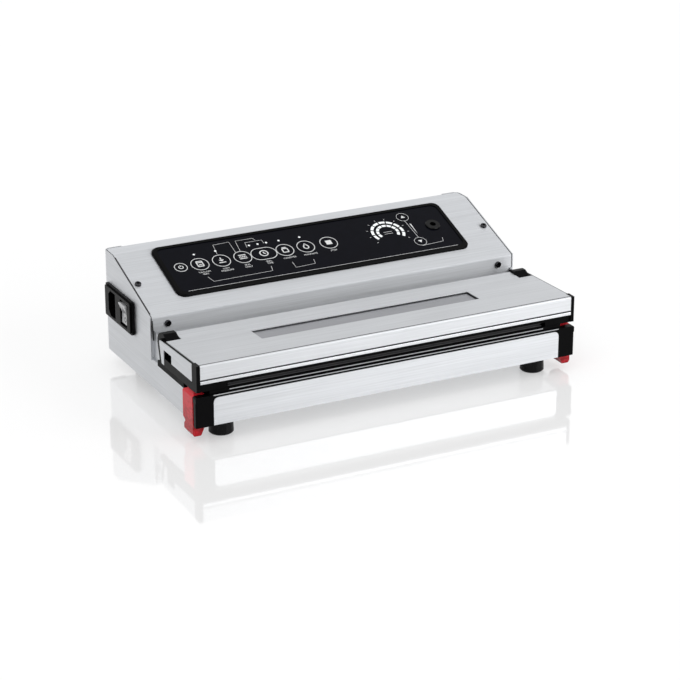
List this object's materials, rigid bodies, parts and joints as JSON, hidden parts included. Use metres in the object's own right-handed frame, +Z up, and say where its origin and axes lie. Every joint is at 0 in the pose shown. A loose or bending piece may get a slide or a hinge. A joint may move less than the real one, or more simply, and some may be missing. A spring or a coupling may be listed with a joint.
{
  "type": "vacuum sealer",
  "caption": "Countertop bag vacuum sealer: low steel case with a hinged lid over a vacuum trough and heating bar, sloped key panel, side latches and a power inlet.",
  "frame": {"origin": "on the floor under the middle of the case", "axes": "+X to the right along the bag slot, +Y from the lid's front edge to the case's back, +Z up"},
  "size_m": [0.3866, 0.2173, 0.1151],
  "materials": {
    "steel_sheet": "fine brushed stainless steel, half mirror",
    "inlay_steel": "satin stainless steel",
    "bright_trim": "polished",
    "black_plastic": "satin black moulding",
    "red_plastic": "clear red moulding",
    "gloss_panel": "dark glossy film",
    "lamp_window": "pale diffusing window",
    "port_plastic": "pale grey",
    "rocker_plastic": "gloss black",
    "black_rubber": "matt rubber",
    "silicone": "pale silicone",
    "insulating_bar": "matt",
    "resistance_wire": "flat drawn wire",
    "heat_film": "coated glass cloth",
    "fastener_steel": "plated",
    "contact_brass": "bright",
    "circuit_board": "lacquered",
    "motor_paint": "satin",
    "pump_casting": "as cast",
    "fan_plastic": "moulded",
    "core_iron": "lacquered laminations",
    "coil_copper": "enamelled copper winding"
  },
  "bodies": {
    "housing": {"accessory_port": "port_plastic", "base_deck": "black_plastic", "board_posts": "contact_brass", "bottom_pan": "steel_sheet", "case_screws": "fastener_steel", "chamber_gasket": "black_rubber", "chamber_hose": "silicone", "control_board": "circuit_board", "control_housing": "steel_sheet", "front_panel": "steel_sheet", "gauge_segments": "lamp_window", "heat_tape": "heat_film", "heating_bar": "insulating_bar", "heating_wire": "resistance_wire", "hinge_pins": "fastener_steel", "indicator_lamps": "lamp_window", "inlet_pins": "contact_brass", "key_switches": "black_plastic", "latch_housing_left": "black_plastic", "latch_housing_right": "black_plastic", "latch_pins": "fastener_steel", "panel_bezel": "black_plastic", "panel_overlay": "gloss_panel", "port_hose": "silicone", "power_inlet": "black_plastic", "pump_cradle": "motor_paint", "pump_head": "pump_casting", "pump_motor": "motor_paint", "rear_panel": "steel_sheet", "release_valve": "contact_brass", "rubber_feet": "black_rubber", "side_panel_left": "steel_sheet", "side_panel_right": "steel_sheet", "transformer_coil": "coil_copper", "transformer_core": "core_iron", "valve_hose": "silicone"},
    "lid": {"lid_moulding": "black_plastic", "lid_end_cap_left": "black_plastic", "lid_end_cap_right": "black_plastic", "lid_cover": "steel_sheet", "lid_trim": "bright_trim", "lid_end_plate_left": "steel_sheet", "lid_end_plate_right": "steel_sheet", "lid_inlay": "inlay_steel", "lid_gasket": "black_rubber", "silicone_strip": "silicone"},
    "latch_left": {"latch_lever_left": "red_plastic"},
    "latch_right": {"latch_lever_right": "red_plastic"},
    "rocker": {"rocker_switch": "rocker_plastic"},
    "fan": {"motor_fan": "fan_plastic"},
    "key_power_body": {"key_power": "gloss_panel"},
    "key_vacuum_seal_body": {"key_vacuum_seal": "gloss_panel"},
    "key_pressure_body": {"key_pressure": "gloss_panel"},
    "key_seal_body": {"key_seal": "gloss_panel"},
    "key_seal_time_body": {"key_seal_time": "gloss_panel"},
    "key_canister_body": {"key_canister": "gloss_panel"},
    "key_marinate_body": {"key_marinate": "gloss_panel"},
    "key_stop_body": {"key_stop": "gloss_panel"},
    "key_up_body": {"key_up": "gloss_panel"},
    "key_down_body": {"key_down": "gloss_panel"}
  },
  "joints": [
    {"name": "lid_hinge", "type": "hinge", "parent": "housing", "child": "lid", "pos_m": [0, -0.0235, 0.065], "axis": [-1, 0, 0], "range_deg": [0, 100]},
    {"name": "latch_left_pivot", "type": "hinge", "parent": "housing", "child": "latch_left", "pos_m": [-0.186, -0.0909, 0.0315], "axis": [0, 1, 0], "range_deg": [0, 6]},
    {"name": "latch_right_pivot", "type": "hinge", "parent": "housing", "child": "latch_right", "pos_m": [0.186, -0.0909, 0.0315], "axis": [0, -1, 0], "range_deg": [0, 6]},
    {"name": "rocker_pivot", "type": "hinge", "parent": "housing", "child": "rocker", "pos_m": [-0.188, 0.0528, 0.0681], "axis": [0, 1, 0], "range_deg": [0, 20]},
    {"name": "fan_spin", "type": "hinge", "parent": "housing", "child": "fan", "pos_m": [-0.05, 0.065, 0.0565], "axis": [1, 0, 0], "continuous": true},
    {"name": "key_power_press", "type": "slide", "parent": "housing", "child": "key_power_body", "axis": [0, 0.331, -0.9436], "range_m": [0, 0.0005], "stiffness_N_per_m": 600},
    {"name": "key_vacuum_seal_press", "type": "slide", "parent": "housing", "child": "key_vacuum_seal_body", "axis": [0, 0.331, -0.9436], "range_m": [0, 0.0005], "stiffness_N_per_m": 600},
    {"name": "key_pressure_press", "type": "slide", "parent": "housing", "child": "key_pressure_body", "axis": [0, 0.331, -0.9436], "range_m": [0, 0.0005], "stiffness_N_per_m": 600},
    {"name": "key_seal_press", "type": "slide", "parent": "housing", "child": "key_seal_body", "axis": [0, 0.331, -0.9436], "range_m": [0, 0.0005], "stiffness_N_per_m": 600},
    {"name": "key_seal_time_press", "type": "slide", "parent": "housing", "child": "key_seal_time_body", "axis": [0, 0.331, -0.9436], "range_m": [0, 0.0005], "stiffness_N_per_m": 600},
    {"name": "key_canister_press", "type": "slide", "parent": "housing", "child": "key_canister_body", "axis": [0, 0.331, -0.9436], "range_m": [0, 0.0005], "stiffness_N_per_m": 600},
    {"name": "key_marinate_press", "type": "slide", "parent": "housing", "child": "key_marinate_body", "axis": [0, 0.331, -0.9436], "range_m": [0, 0.0005], "stiffness_N_per_m": 600},
    {"name": "key_stop_press", "type": "slide", "parent": "housing", "child": "key_stop_body", "axis": [0, 0.331, -0.9436], "range_m": [0, 0.0005], "stiffness_N_per_m": 600},
    {"name": "key_up_press", "type": "slide", "parent": "housing", "child": "key_up_body", "axis": [0, 0.331, -0.9436], "range_m": [0, 0.0005], "stiffness_N_per_m": 600},
    {"name": "key_down_press", "type": "slide", "parent": "housing", "child": "key_down_body", "axis": [0, 0.331, -0.9436], "range_m": [0, 0.0005], "stiffness_N_per_m": 600}
  ]
}
